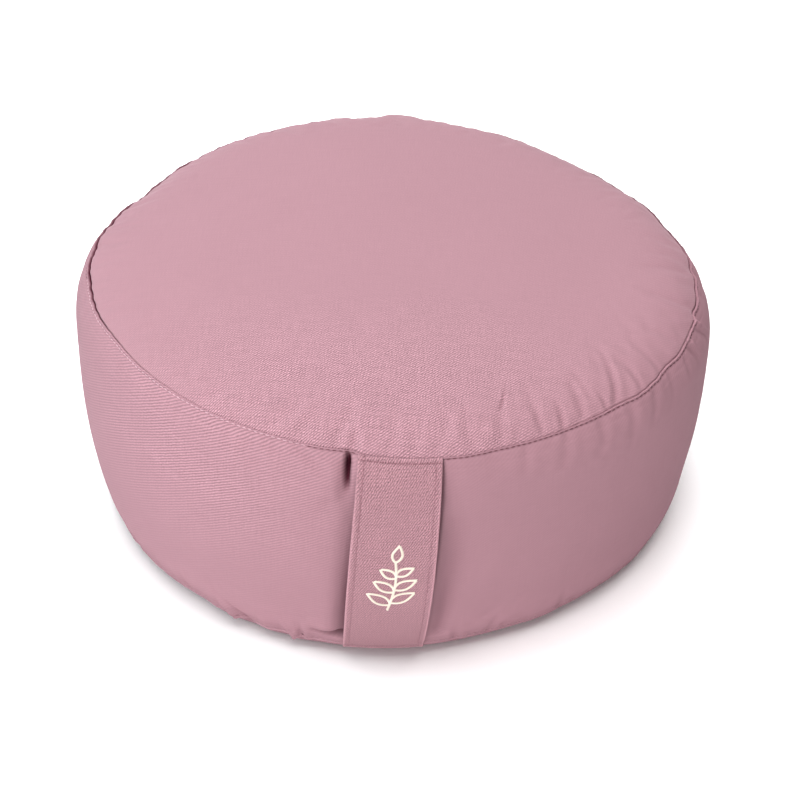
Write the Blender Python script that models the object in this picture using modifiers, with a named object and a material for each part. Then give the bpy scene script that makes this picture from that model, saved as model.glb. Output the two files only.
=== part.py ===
"""A round, drum-shaped meditation cushion with a sewn-on carry strap.

Two pieces: the filled cushion, whose crown, drawn-in seams, leaning top and
flattened base are one solid, and the flat strap that bows out between the top
and the bottom seam. Metres, +Z up, the front (with the strap) towards -Y, and
the origin at the middle of the face that the cushion rests on.
"""

import math

import bmesh
import bpy
from mathutils import Vector

MM = 0.001

# Driving dimensions of the cushion
WIDEST_RADIUS = 165 * MM
WIDEST_HEIGHT = 105 * MM
TOP_SEAM_RADIUS = 156.5 * MM
TOP_SEAM_HEIGHT = 130.3 * MM
BOTTOM_SEAM_RADIUS = 154.5 * MM
BOTTOM_SEAM_HEIGHT = 10.5 * MM
REST_RADIUS = 141 * MM
CROWN_RISE = 15.5 * MM
BULGE_POWER = 2.5
CROWN_POWER = 2.3
UNDER_POWER = 1.3

# The top panel rolls down steeply over its last stretch before the seam
ROLL_RISE = 4.5 * MM
ROLL_WIDTH = 9 * MM

# Both seams are drawn in to a notch
NOTCH_DEPTH = 1.8 * MM
NOTCH_WIDTH = 2.4 * MM

# How the filling has settled: the top leans to the right and dips there
TOP_SHIFT = Vector((3.1 * MM, 0.5 * MM))
MIDDLE_SHIFT = Vector((0.7 * MM, 2.4 * MM))
TOP_DIP_RIGHT = 0.047
TOP_DIP_BACK = 0.03

# Gentle lobes that make the outline less than round: (waves round, size, angle of a high point)
OUTLINE_LOBES = (
    (2, 1.8 * MM, 70),
    (3, 1.6 * MM, -37),
    (4, 1.5 * MM, -9),
)
SEAM_HEIGHT_LOBES = (
    (2, 0.6 * MM, -4),
    (3, 1.8 * MM, -11),
)

# Pulls and puckers along the top seam, the larger ones at the right where the seam is
# tighter: (angle from +X, how far it draws in, half its width along the seam)
SEAM_PULLS = (
    (-63, 1.2 * MM, 9 * MM),
    (-52, 1.6 * MM, 9 * MM),
    (-43, 1.4 * MM, 9 * MM),
    (-33, 2.4 * MM, 10 * MM),
    (-22, 1.4 * MM, 9 * MM),
    (-11, 2.2 * MM, 9 * MM),
    (6, 2.6 * MM, 10 * MM),
    (22, 2.0 * MM, 9 * MM),
    (41, 1.4 * MM, 10 * MM),
    (68, 1.2 * MM, 10 * MM),
    (96, 1.5 * MM, 9 * MM),
    (117, 1.6 * MM, 9 * MM),
    (138, 1.8 * MM, 9 * MM),
    (157, 1.6 * MM, 9 * MM),
    (178, 1.2 * MM, 10 * MM),
    (206, 0.8 * MM, 12 * MM),
)
PULL_REACH = 17 * MM

# The strap lies on the band just inside both seams and bows out between them
STRAP_WIDTH = 40 * MM
STRAP_THICKNESS = 2.4 * MM
STRAP_TOP_X = 3.1 * MM
STRAP_BOTTOM_X = -3 * MM
STRAP_INSET = 1.5 * MM
STRAP_SEWN = 4 * MM
STRAP_BOW = 8.5 * MM
STRAP_FLATNESS = 0.6
CLEARANCE = 0.35 * MM

# Mesh steps
ROUND_STEPS = 120
CROWN_STEPS = 9
BAND_STEPS = 12
UNDER_STEPS = 4
NOTCH_OFFSETS = (-6 * MM, -3 * MM, -1.3 * MM, 0, 1.3 * MM, 3 * MM, 6 * MM)
STRAP_ACROSS = 6
STRAP_ALONG = 26

CLOTH_PINK = (0.53, 0.295, 0.335, 1)


def waves(lobes, angle):
    """The sum of the lobes of a table at an angle round the cushion, in radians."""
    return sum(
        size * math.cos(count * (angle - math.radians(high)))
        for count, size, high in lobes
    )


def band_radius(height):
    """The band's radius: widest above its middle, drawn in at both seams."""
    if height >= WIDEST_HEIGHT:
        seam = TOP_SEAM_RADIUS
        share = (height - WIDEST_HEIGHT) / (TOP_SEAM_HEIGHT - WIDEST_HEIGHT)
    else:
        seam = BOTTOM_SEAM_RADIUS
        share = (WIDEST_HEIGHT - height) / (WIDEST_HEIGHT - BOTTOM_SEAM_HEIGHT)
    return WIDEST_RADIUS - (WIDEST_RADIUS - seam) * min(share, 1) ** BULGE_POWER


def crown_height(radius):
    """The top panel's height: a low dome that rolls down to the seam."""
    dome = CROWN_RISE * (1 - (radius / TOP_SEAM_RADIUS) ** CROWN_POWER)
    roll = ROLL_RISE * (1 - math.exp(-(TOP_SEAM_RADIUS - radius) / ROLL_WIDTH))
    return TOP_SEAM_HEIGHT + dome + roll


def under_point(share):
    """The bottom panel's edge, from the bottom seam (0) under to the floor (1)."""
    radius = BOTTOM_SEAM_RADIUS + (REST_RADIUS - BOTTOM_SEAM_RADIUS) * share
    return Vector((radius, BOTTOM_SEAM_HEIGHT * (1 - share) ** UNDER_POWER))


def notched(point, seam, outward):
    """A profile point near a seam, pulled in so that the seam sits in a notch."""
    away = (point - seam).length / NOTCH_WIDTH
    return point - outward * NOTCH_DEPTH * math.exp(-away * away)


def side_profile():
    """Half the cushion's section as (radius, height), from the crown's middle down and under."""
    top_seam = Vector((TOP_SEAM_RADIUS, TOP_SEAM_HEIGHT))
    bottom_seam = Vector((BOTTOM_SEAM_RADIUS, BOTTOM_SEAM_HEIGHT))
    corner = Vector((1, 1)).normalized()
    inner = TOP_SEAM_RADIUS + NOTCH_OFFSETS[0]
    points = [
        Vector((radius, crown_height(radius)))
        for radius in (inner * step / CROWN_STEPS for step in range(CROWN_STEPS + 1))
    ]
    for offset in NOTCH_OFFSETS[1:]:
        if offset < 0:
            point = Vector((TOP_SEAM_RADIUS + offset, crown_height(TOP_SEAM_RADIUS + offset)))
        else:
            height = TOP_SEAM_HEIGHT - offset
            point = Vector((band_radius(height), height))
        points.append(notched(point, top_seam, corner))
    high = TOP_SEAM_HEIGHT - NOTCH_OFFSETS[-1]
    low = BOTTOM_SEAM_HEIGHT + NOTCH_OFFSETS[-1]
    for step in range(1, BAND_STEPS + 1):
        height = high + (low - high) * step / BAND_STEPS
        points.append(Vector((band_radius(height), height)))
    for offset in reversed(NOTCH_OFFSETS[3:-1]):
        height = BOTTOM_SEAM_HEIGHT + offset
        point = Vector((band_radius(height), height))
        points.append(notched(point, bottom_seam, Vector((1, -0.2)).normalized()))
    points.extend(under_point(step / UNDER_STEPS) for step in range(1, UNDER_STEPS + 1))
    points.append(Vector((0, 0)))
    return points


def strap_middle(height):
    """The X of the strap's centreline at a height: it leans a little from seam to seam."""
    share = (height - BOTTOM_SEAM_HEIGHT) / (TOP_SEAM_HEIGHT - BOTTOM_SEAM_HEIGHT)
    return STRAP_BOTTOM_X + (STRAP_TOP_X - STRAP_BOTTOM_X) * share


def seam_pull(angle, radius, height):
    """How far a point near the top seam is drawn in by the puckers round it."""
    if radius < TOP_SEAM_RADIUS / 2 or height < WIDEST_HEIGHT / 2:
        return 0
    from_seam = math.hypot(radius - TOP_SEAM_RADIUS, height - TOP_SEAM_HEIGHT) / PULL_REACH
    pull = 0
    for high, size, half in SEAM_PULLS:
        turn = (angle - math.radians(high) + math.pi) % (2 * math.pi) - math.pi
        along = turn * TOP_SEAM_RADIUS / half
        pull += size * math.exp(-along * along)
    return pull * math.exp(-from_seam * from_seam)


def settle(point):
    """Moves a point of the plain round form to where it lies in the settled cushion."""
    x, y, height = point
    radius = math.hypot(x, y)
    angle = math.atan2(y, x)
    share = min(height / TOP_SEAM_HEIGHT, 1)
    if radius > 0:
        reach = min(radius / TOP_SEAM_RADIUS, 1)
        spread = radius + reach * waves(OUTLINE_LOBES, angle) - seam_pull(angle, radius, height)
        x *= spread / radius
        y *= spread / radius
        height += share * reach * reach * waves(SEAM_HEIGHT_LOBES, angle)
    middle = 4 * share * (1 - share)
    return Vector(
        (
            x + TOP_SHIFT.x * share + MIDDLE_SHIFT.x * middle,
            y + TOP_SHIFT.y * share + MIDDLE_SHIFT.y * middle,
            height - share * (TOP_DIP_RIGHT * x + TOP_DIP_BACK * y),
        )
    )


def cloth_material(name, colour):
    """A matte cotton."""
    material = bpy.data.materials.new(name)
    material.use_nodes = True
    shader = material.node_tree.nodes["Principled BSDF"]
    shader.inputs["Base Color"].default_value = colour
    shader.inputs["Roughness"].default_value = 0.9
    shader.inputs["Metallic"].default_value = 0
    return material


def add_object(name, mesh, collection):
    """Links a named object for a mesh."""
    made = bpy.data.objects.new(name, mesh)
    collection.objects.link(made)
    return made


def turned_mesh(profile, collection):
    """A profile of (radius, height) turned round Z, as a mesh."""
    mesh = bpy.data.meshes.new("section")
    corners = [(radius, 0, height) for radius, height in profile]
    mesh.from_pydata(corners, [(i, i + 1) for i in range(len(corners) - 1)], [])
    guide = add_object("section", mesh, collection)
    screw = guide.modifiers.new("Turn", "SCREW")
    screw.axis = "Z"
    screw.steps = ROUND_STEPS
    screw.render_steps = ROUND_STEPS
    screw.use_merge_vertices = True
    screw.merge_threshold = 0.00001
    graph = bpy.context.evaluated_depsgraph_get()
    turned = bpy.data.meshes.new_from_object(guide.evaluated_get(graph))
    bpy.data.objects.remove(guide)
    return turned


def make_cushion(collection, material):
    """The filled cushion as one solid, with its crown, seams, lean and flat base."""
    mesh = turned_mesh(side_profile(), collection)
    for vertex in mesh.vertices:
        vertex.co = settle(vertex.co)
    mesh.name = "cushion"
    mesh.shade_smooth()
    mesh.materials.append(material)
    return add_object("cushion", mesh, collection)


def strap_point(across, along):
    """A point of the strap's middle layer: across from -1 to 1, along from 0 (top) to 1."""
    top = TOP_SEAM_HEIGHT - STRAP_INSET
    bottom = BOTTOM_SEAM_HEIGHT + STRAP_INSET
    height = top + (bottom - top) * along
    slope = (band_radius(height + MM / 10) - band_radius(height - MM / 10)) / (MM / 5)
    outward = Vector((1, -slope)).normalized()
    free = min(max((abs(top - bottom) * along - STRAP_SEWN) / (top - bottom - 2 * STRAP_SEWN), 0), 1)
    bow = math.sin(math.pi * free) ** 1.2
    offset = outward * (CLEARANCE + STRAP_THICKNESS / 2 + STRAP_BOW * bow)
    radius = band_radius(height) + offset.x
    x = strap_middle(height) + across * STRAP_WIDTH / 2
    curve = radius - math.sqrt(radius * radius - x * x)
    return Vector((x, curve * (1 - STRAP_FLATNESS * bow) - radius, height + offset.y))


def make_strap(collection, material):
    """The carry strap: one flat band of doubled cloth, bowed out for a hand."""
    form = bmesh.new()
    bmesh.ops.create_grid(form, x_segments=STRAP_ACROSS, y_segments=STRAP_ALONG, size=1)
    for vertex in form.verts:
        vertex.co = settle(strap_point(vertex.co.x, (1 - vertex.co.y) / 2))
    mesh = bpy.data.meshes.new("carry_strap")
    form.to_mesh(mesh)
    form.free()
    mesh.shade_smooth()
    mesh.materials.append(material)
    strap = add_object("carry_strap", mesh, collection)
    thicken = strap.modifiers.new("Thickness", "SOLIDIFY")
    thicken.thickness = STRAP_THICKNESS
    thicken.offset = 0
    round_edges = strap.modifiers.new("Folded edges", "BEVEL")
    round_edges.width = 0.8 * MM
    round_edges.segments = 2
    round_edges.limit_method = "ANGLE"
    return strap


def main():
    for old in list(bpy.data.objects):
        bpy.data.objects.remove(old)
    collection = bpy.data.collections.new("zafu_cushion")
    bpy.context.scene.collection.children.link(collection)
    cloth = cloth_material("rose_twill", CLOTH_PINK)
    make_cushion(collection, cloth)
    make_strap(collection, cloth_material("strap_twill", CLOTH_PINK))


main()
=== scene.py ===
"""Looks of the round meditation cushion: cover, sewn seams, carry strap, thread, floor and light.

Lengths are in metres, in the frame of the CAD model: +Z up, the strap towards -Y.
Every piece of the cushion is placed by place(), from an arc length down the section
(0 at the top seam, below 0 on the top panel), an angle round it and a height over the cloth.
"""

import math

import bpy
import numpy as np
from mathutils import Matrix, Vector


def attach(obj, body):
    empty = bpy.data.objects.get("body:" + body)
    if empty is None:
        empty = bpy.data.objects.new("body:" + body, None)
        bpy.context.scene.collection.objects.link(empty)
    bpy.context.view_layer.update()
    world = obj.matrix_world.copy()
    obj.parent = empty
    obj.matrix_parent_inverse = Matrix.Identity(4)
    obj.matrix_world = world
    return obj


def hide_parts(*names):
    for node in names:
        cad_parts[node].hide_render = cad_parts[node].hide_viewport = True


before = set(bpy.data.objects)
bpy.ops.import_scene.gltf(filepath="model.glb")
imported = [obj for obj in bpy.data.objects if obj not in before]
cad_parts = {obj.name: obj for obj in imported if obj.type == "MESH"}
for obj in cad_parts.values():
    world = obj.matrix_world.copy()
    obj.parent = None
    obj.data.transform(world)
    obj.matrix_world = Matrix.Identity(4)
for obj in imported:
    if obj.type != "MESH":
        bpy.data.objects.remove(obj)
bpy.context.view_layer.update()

MM = 0.001
TURN = 2 * math.pi

# The form's driving dimensions: the CAD model's, with the band drawn in a little more at its foot
WIDEST_RADIUS = 165 * MM
WIDEST_HEIGHT = 105 * MM
TOP_SEAM_RADIUS = 156.5 * MM
TOP_SEAM_HEIGHT = 130.3 * MM
BOTTOM_SEAM_RADIUS = 150.8 * MM
BOTTOM_SEAM_HEIGHT = 7.5 * MM
REST_RADIUS = 142 * MM
CROWN_RISE = 15.5 * MM
BULGE_POWER = 2.5
LOW_BULGE_POWER = 2.8
CROWN_POWER = 2.3
UNDER_POWER = 1.3
ROLL_RISE = 4.5 * MM
ROLL_WIDTH = 9 * MM
TOP_SHIFT = (3.1 * MM, 0.5 * MM)
MIDDLE_SHIFT = (0.7 * MM, 2.4 * MM)
TOP_DIP_RIGHT = 0.047
TOP_DIP_BACK = 0.03
OUTLINE_LOBES = ((2, 1.8 * MM, 70), (3, 1.6 * MM, -37), (4, 1.5 * MM, -9))
SEAM_HEIGHT_LOBES = ((2, 0.6 * MM, -4), (3, 1.8 * MM, -11))

# The tables below hold pairs of (angle in degrees, value), read smoothly round the cushion.
# In millimetres: how far the top seam wanders outwards and upwards, and the bottom seam outwards
SEAM_WANDER = (
    (-179, 0.9), (-171, 0), (-162, 0.3), (-152, -0.7), (-140, 0.2), (-125, 0.5), (-111, -0.7),
    (-103, -1), (-97.6, -2.2), (-95, 0.2), (-88, 0.8), (-79, 0.7), (-70, -1.1), (-58, -1.1),
    (-46, -0.7), (-39.7, 1.4), (-35, 0.9), (-30.8, -0.5), (-25.4, 0.8), (-19.9, 0.1), (-14.8, 0.3),
    (-11.7, -1.2), (-8, 0.1), (-3.5, -0.4), (-0.3, 0.2), (3.6, -0.8), (6.8, 0.7), (12, 0.3), (20, -0.8),
    (28, 0.7), (32, -0.1), (36, -1.1), (40, -1.1), (44, -0.8), (48, -1.7), (52, -2), (56, -2.4),
    (61, -1.7), (66, -1), (71, -1.7), (76, -2.4), (81, -1.6), (85, -0.6), (88, 0.6), (91, -0.1),
    (94, -1.6), (97, -1.6), (101, -0.7), (105, -1.3), (110, -1.2), (115, -1), (119, -1.2), (123, -1.2),
    (128, -0.4), (133, -0.9), (137, -1.5), (141, -1.5), (144, -1.6), (147, -2.3), (151, -3.1),
    (155, -3.5), (158, -2.4), (161, -1.9), (165, -1.3), (170, -0.4), (174, 0.2), (178, -0.1),
)
SEAM_RISE = (
    (-170, 0), (26, 0), (30, 0), (36, -0.4), (44, -0.9), (48, -1.4), (55, -1.2), (65, -1.2), (75, -1.5),
    (83, -1.5), (87, -0.8), (91, -0.2), (96, -1.4), (104, -1), (115, -1.3), (120, -0.5), (128, -0.8),
    (137, -0.5), (142, -0.9), (147, -1.4), (154, -1.2), (159, 0), (165, 0), (174, 0.8), (180, 0.3),
)
BOTTOM_WANDER = (
    (-170, 0.8), (-156, -0.3), (-141, -0.5), (-130, -1.6), (-121.5, -0.2), (-117.8, -2.0), (-114, 0.1),
    (-110.4, -1.0), (-107.2, 0.9), (-103.6, -0.4), (-99, 0.2), (-82, 0.3), (-70, -0.4), (-60, 0.5),
    (-48, -0.2), (-35, 0.7), (-20, 0.2), (-4, 0.4), (14, -0.6), (33, 0.6), (55, -0.6), (78, 0.5),
    (100, -0.7), (124, 0.6), (150, -0.5),
)
# In millimetres too: how far the filling lifts the top panel, how far the band's middle is
# pressed in, and how far its foot is filled out
TOP_SWELL = (
    (-170, -0.9), (-140, -0.7), (-100, 0), (-62, 0.2), (-40, 1.4), (-10, 2.1), (20, 1.9), (50, 0.5),
    (130, 0), (170, -0.6),
)
BAND_PRESSED = (
    (-160, 0), (-140, 0.8), (-108, 1.0), (-100, 0), (-77, 0), (-66, 2.6), (-35, 2.8), (-12, 0.4),
    (0, 0), (170, 0),
)
FOOT_FILLED = (
    (-170, 0.3), (-100, 0.4), (-76, 0.2), (-60, 0.8), (-42, 1.9), (-22, 2.2), (0, 0.5), (20, 0),
    (170, 0),
)
# How far below the top seam its row of stitches runs
STITCH_LINE = (
    (-175, 1.8), (-160, 1.6), (-140, 1.4), (-118, 0.9), (-60, 0.85), (-35, 1.5), (0, 1.95), (90, 1.95),
    (160, 1.8),
)
# As shares: how uneven the seam's small steps are, and how much the cloth gathers beside both seams
STEPS = (
    (-175, 0.7), (-150, 0.4), (-130, 0.25), (-60, 0.25), (-20, 0.3), (20, 0.6), (90, 0.9), (165, 1.1),
)
GATHERED = ((-172, 0.5), (-150, 0.15), (50, 0.1), (85, 0.4), (105, 1), (165, 1))
# How much slack the simulated cloth is cut with: 0 none, 1 all of it
SLACK = (
    (-175, 0.06), (-150, 0.05), (-125, 0.06), (-108, 0.2), (-97, 0.35), (-88, 0.1), (-78, 0.2),
    (-65, 0.26), (-45, 0.22), (-26, 0.06), (20, 0.02), (50, 0.05), (90, 0.3), (125, 0.25), (155, 0.1),
)
# How boldly the top seam's edge stands up: low at the front, full at the right and behind
EDGE_BOLD = (
    (-175, 0.8), (-160, 0.6), (-145, 0.45), (-125, 0.35), (-105, 0.4), (-98, 0.4), (-95, 0.2),
    (-82, 0.2), (-78, 0.2), (-60, 0.3), (-48, 0.5), (-32, 0.9), (-10, 1.2), (10, 1.2), (30, 0.9),
    (90, 0.9), (128, 0.8), (135, 0.3), (141, 1.5), (145, 0.2), (149, 1.4), (154, 0.2), (161, 1.2),
    (172, 0.9),
)
# How deep the cloth of the top panel turns down beside the seam's edge; it also sets the painted shade and
# painted shadow in the open seam
SEAM_GAP = (
    (-175, 1.6), (-166, 1.25), (-160, 0.85), (-154, 0.5), (-146, 0.35), (-138, 0.2), (-125, 0.15),
    (-112, 0.12), (-104, 0.15), (-98, 0.35), (-94, 0.1), (-82, 0.1), (-76, 0.15), (-58, 0.2),
    (-46, 0.3), (-36, 0.36), (-18, 0.44), (-8, 0.65), (5, 0.85), (30, 0.95), (90, 1.1), (140, 1.5),
    (160, 1.9), (172, 1.8),
)
# How much painted shade darkens the rim of the sewn edge, at the right and behind
PAINTED_RIM_SHADE = (
    (-175, 0), (-60, 0), (5, 0), (13, 0.8), (22, 1.0), (42, 1.0), (60, 0.5), (90, 0.2), (128, 0.2),
    (145, 0.45), (170, 0.25),
)
# How deep the stitched line below the top seam is, and how much painted shade it holds
STITCH_MARK = (
    (-175, 0.3), (-165, 0.1), (-112, 0.05), (-103, 0.35), (-95, 0.8), (-50, 0.8), (-30, 0.5), (30, 0.6),
    (90, 0.6), (160, 0.5),
)
# How strongly a painted highlight makes the bottom seam's hem paler
PAINTED_HEM_HIGHLIGHT = ((-170, 0.1), (-122, 0.4), (-116, 1), (-104, 1), (-98, 0.5), (-80, 0.5), (-70, 0), (100, 0))

# Creases and troughs that the seam draws into the cloth. Each runs from one (arc in mm, degrees)
# to another, with its depth (a ridge's is below 0) and half width in mm, and how high its two
# lips stand (0 to 1).
CREASES = (
    # on the top panel, right of the front
    ((-33, -64.4), (-22, -67.8), 1.2, 0.75, 0.3),
    ((-21, -68.2), (-2, -70.4), 0.4, 2.6, 0.4),
    ((-18, -61.2), (-3, -62.2), 0.8, 1.9, 0.5),
    ((-15, -56.3), (-1, -58.0), 1.0, 1.5, 0.6),
    ((-22, -50.6), (-3, -53.0), 0.6, 2.2, 0.5),
    ((-26, -38.8), (-1, -45.6), 1.1, 1.7, 0.7),
    ((-8, -47.4), (0, -48.0), 0.9, 1.2, 0.7),
    ((-25, -48.2), (-11, -49.6), 0.5, 2.0, 0.4),
    ((-14, -37.4), (-2, -39.0), 0.7, 1.6, 0.6),
    ((-17, -31.5), (-1, -32.4), 0.5, 1.8, 0.5),
    ((-15, -24.4), (-1, -23.2), 0.2, 2.2, 0.5),
    ((-18, -12.8), (-2, -11.7), 0.25, 2.4, 0.4),
    ((-30, -3.0), (-6, 0.5), 0.5, 4.5, 0.4),
    ((-12, -97.0), (0, -97.2), 0.8, 2.2, 0.5),
    # on the band, below them
    ((0.5, -14.2), (17, -10.6), -1.7, 1.1, 0.0),
    ((3, -15.6), (18, -12.2), 1.1, 1.9, 0.2),
    ((0.5, -20.4), (16, -17.8), -1.5, 1.1, 0.0),
    ((3, -21.8), (17, -19.4), 1.0, 1.9, 0.2),
    ((5, -24.8), (15, -24.8), 0.6, 1.7, 0.5),
    ((2, -3.0), (9, -4.0), 0.6, 1.6, 0.5),
    ((3, 3.6), (15, 1.8), 0.8, 2.2, 0.5),
    ((4, -30.8), (18, -31.6), 0.4, 2.0, 0.5),
    ((6, -37.0), (26, -38.4), 0.4, 2.6, 0.5),
    ((5, -43.0), (30, -44.4), 0.4, 2.8, 0.5),
    ((4, -50.0), (22, -51.6), 0.3, 2.6, 0.5),
    ((3, -58.2), (18, -59.6), 0.3, 2.4, 0.5),
    ((3, -66.2), (15, -67.4), 0.3, 2.4, 0.5),
    # beside the strap's top, where the band is folded in, and the pulls towards it
    ((2.5, -98.0), (18, -97.9), 7.0, 1.2, 0.1),
    ((6, -98.2), (27, -98.5), 2.0, 3.0, 0.1),
    ((2, -106.6), (17, -99.6), 0.5, 2.2, 0.4),
    ((4, -112.0), (20, -103.0), 0.3, 2.6, 0.4),
    # the band falls back behind the strap's left edge
    ((15, -96.4), (116, -97.9), 3.6, 6.6, 0.1),
    ((117.6, -104.0), (119.0, -97.6), 6.0, 1.1, 0.2),
    ((96, -83.4), (3, -81.9), 2.4, 1.0, 0.0),
    ((36, -80.0), (116, -81.4), 2.3, 5.4, 0.0),
    # at the bottom seam, left of the front
    ((112, -126.0), (125, -120.8), -1.9, 1.1, 0.0),
    ((113, -123.2), (125, -118.2), 1.3, 1.4, 0.2),
    ((114, -111.0), (125, -108.3), -1.7, 1.5, 0.0),
    ((113, -107.2), (125, -106.7), 1.4, 1.6, 0.5),
    ((101, -125.6), (125, -123.8), 0.5, 2.6, 0.5),
    ((107, -134.0), (125, -132.6), 0.4, 2.4, 0.5),
    ((110, -141.5), (125, -141.0), 0.3, 2.2, 0.5),
    ((108, -151.0), (125, -150.0), 0.4, 2.4, 0.5),
    ((111, -78.0), (125, -77.4), 0.5, 2.2, 0.5),
    ((111, -70.0), (124, -70.6), 0.4, 2.2, 0.5),
    ((107, -56.0), (124, -55.0), 0.4, 2.6, 0.5),
    ((111, -40.0), (124, -41.0), 0.4, 2.4, 0.5),
)
CREASE_RADIUS = 160 * MM

# The strap
STRAP_WIDTH = 40 * MM
STRAP_TOP_X = 6.1 * MM
STRAP_BOTTOM_X = -2.8 * MM
STRAP_BOW = 7.5 * MM
STRAP_START = 0.5 * MM
STRAP_FOLD = 0.5 * MM

# The stitches: their pitch, and how far their rows lie from the seams and the strap's ends
STITCH_PITCH = 3.0 * MM
HALF_STITCH = 0.38  # of the pitch
VALLEY = 1.95 * MM
TOP_BEHIND_STRAP = (-97.0, -81.0)  # degrees
BOTTOM_BEHIND_STRAP = (-98.5, -83.5)
EDGE_STITCH = STRAP_WIDTH / 2 - 3.1 * MM  # from the strap's middle
FIRST_STITCH = 5.0 * MM
TOP_STITCH = 2.15 * MM
END_STITCH = 3.4 * MM


# ---------------------------------------------------------------- small functions


def bell(distance, width, power=2):
    """1 where the distance is 0, fading to nothing beyond the width."""
    return np.exp(-((distance / width) ** power))


def clamp(value):
    """The value kept between 0 and 1."""
    return np.clip(value, 0, 1)


def ease(share):
    """A share from 0 to 1 made to start and end gently."""
    return share * share * (3 - 2 * share)


def ripple(angle, count, sway, slow, phase=0):
    """Waves round the cushion, drawn together and apart by slower ones."""
    return np.sin(angle * count + sway * np.sin(angle * slow + phase))


def around(table, angle):
    """A table of (degrees, value) read smoothly at angles round the cushion."""
    degrees = np.array([row[0] + lap for lap in (-360, 0, 360) for row in table], float)
    values = np.array([row[1] for row in table] * 3, float)
    at = (np.degrees(angle) + 180) % 360 - 180
    i = np.clip(np.searchsorted(degrees, at) - 1, 0, len(degrees) - 2)
    t = ease((at - degrees[i]) / (degrees[i + 1] - degrees[i]))
    return values[i] * (1 - t) + values[i + 1] * t


def spaced(*spans):
    """Distances from spans of (start, end, step), all in millimetres."""
    found = []
    for start, end, step in spans:
        count = max(int(round((end - start) / step)), 1)
        found.extend(np.linspace(start, end, count, endpoint=False))
    return np.array(found + [spans[-1][1]]) * MM


def turned(points, angle):
    """Points or shifts turned about the Z axis."""
    cosine, sine = np.cos(angle), np.sin(angle)
    x, y, z = np.moveaxis(points, -1, 0)
    return np.stack([x * cosine - y * sine, x * sine + y * cosine, z], -1)


# ---------------------------------------------------------------- the cushion's form


def waves(lobes, angle):
    """The sum of a table's lobes (waves round, size, angle of a high point)."""
    return sum(size * np.cos(count * (angle - math.radians(high))) for count, size, high in lobes)


def fine_wander(angle):
    """The top seam's small uneven steps, most at the left and behind."""
    return around(STEPS, angle) * MM * (0.22 * ripple(angle, 83, 3, 9) + 0.16 * ripple(angle, 131, 2, 14))


def band_radius(height):
    """The band's radius: widest above its middle, drawn in at both seams."""
    above = clamp((height - WIDEST_HEIGHT) / (TOP_SEAM_HEIGHT - WIDEST_HEIGHT))
    below = clamp((WIDEST_HEIGHT - height) / (WIDEST_HEIGHT - BOTTOM_SEAM_HEIGHT))
    return (
        WIDEST_RADIUS
        - (WIDEST_RADIUS - TOP_SEAM_RADIUS) * above**BULGE_POWER
        - (WIDEST_RADIUS - BOTTOM_SEAM_RADIUS) * below**LOW_BULGE_POWER
    )


def crown_height(radius):
    """The top panel's height: a low dome that rolls down to the seam."""
    dome = CROWN_RISE * (1 - (radius / TOP_SEAM_RADIUS) ** CROWN_POWER)
    return TOP_SEAM_HEIGHT + dome + ROLL_RISE * (1 - np.exp((radius - TOP_SEAM_RADIUS) / ROLL_WIDTH))


def make_section(samples=500):
    """The half section from the crown's middle, down the band and under.

    Gives its arc lengths, its points, and the arcs of the bottom seam and the rest face's edge."""
    radius = np.linspace(0, TOP_SEAM_RADIUS, samples)
    top = np.stack([radius, crown_height(radius)], 1)
    height = np.linspace(TOP_SEAM_HEIGHT, BOTTOM_SEAM_HEIGHT, samples)[1:]
    band = np.stack([band_radius(height), height], 1)
    share = np.linspace(0, 1, 60)[1:]
    under_radius = BOTTOM_SEAM_RADIUS + (REST_RADIUS - BOTTOM_SEAM_RADIUS) * share
    under = np.stack([under_radius, BOTTOM_SEAM_HEIGHT * (1 - share) ** UNDER_POWER], 1)
    flat_radius = np.linspace(REST_RADIUS, 0, 100)[1:]
    flat = np.stack([flat_radius, 0 * flat_radius], 1)
    points = np.concatenate([top, band, under, flat])
    arc = np.concatenate([[0], np.cumsum(np.linalg.norm(np.diff(points, axis=0), axis=1))])
    top_end, band_end, under_end = np.cumsum([len(top), len(band), len(under)]) - 1
    arc -= arc[top_end]
    return arc, points, float(arc[band_end]), float(arc[under_end])


ARC, SECTION, BOTTOM_SEAM, REST_EDGE = make_section()
CENTRE = float(ARC[0])
STRAP_LENGTH = BOTTOM_SEAM - 0.6 * MM


def section_at(arc):
    """Radius, height and outward normal (out, up) of the section at arc lengths."""
    step = 0.8 * MM
    radius, height = (np.interp(arc, ARC, line) for line in SECTION.T)
    dr, dz = (np.interp(arc + step, ARC, line) - np.interp(arc - step, ARC, line) for line in SECTION.T)
    size = np.hypot(dr, dz) + 1e-12
    return radius, height, -dz / size, dr / size


def settle(radius, height, angle):
    """Where a point of the round form lies in the settled, leaning cushion."""
    share = clamp(height / TOP_SEAM_HEIGHT)
    reach = clamp(radius / TOP_SEAM_RADIUS)
    spread = radius + reach * waves(OUTLINE_LOBES, angle)
    x, y = spread * np.cos(angle), spread * np.sin(angle)
    height = height + share * reach**2 * waves(SEAM_HEIGHT_LOBES, angle)
    middle = 4 * share * (1 - share)
    return np.stack(
        [
            x + TOP_SHIFT[0] * share + MIDDLE_SHIFT[0] * middle,
            y + TOP_SHIFT[1] * share + MIDDLE_SHIFT[1] * middle,
            height - share * (TOP_DIP_RIGHT * x + TOP_DIP_BACK * y),
        ],
        -1,
    )


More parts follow.
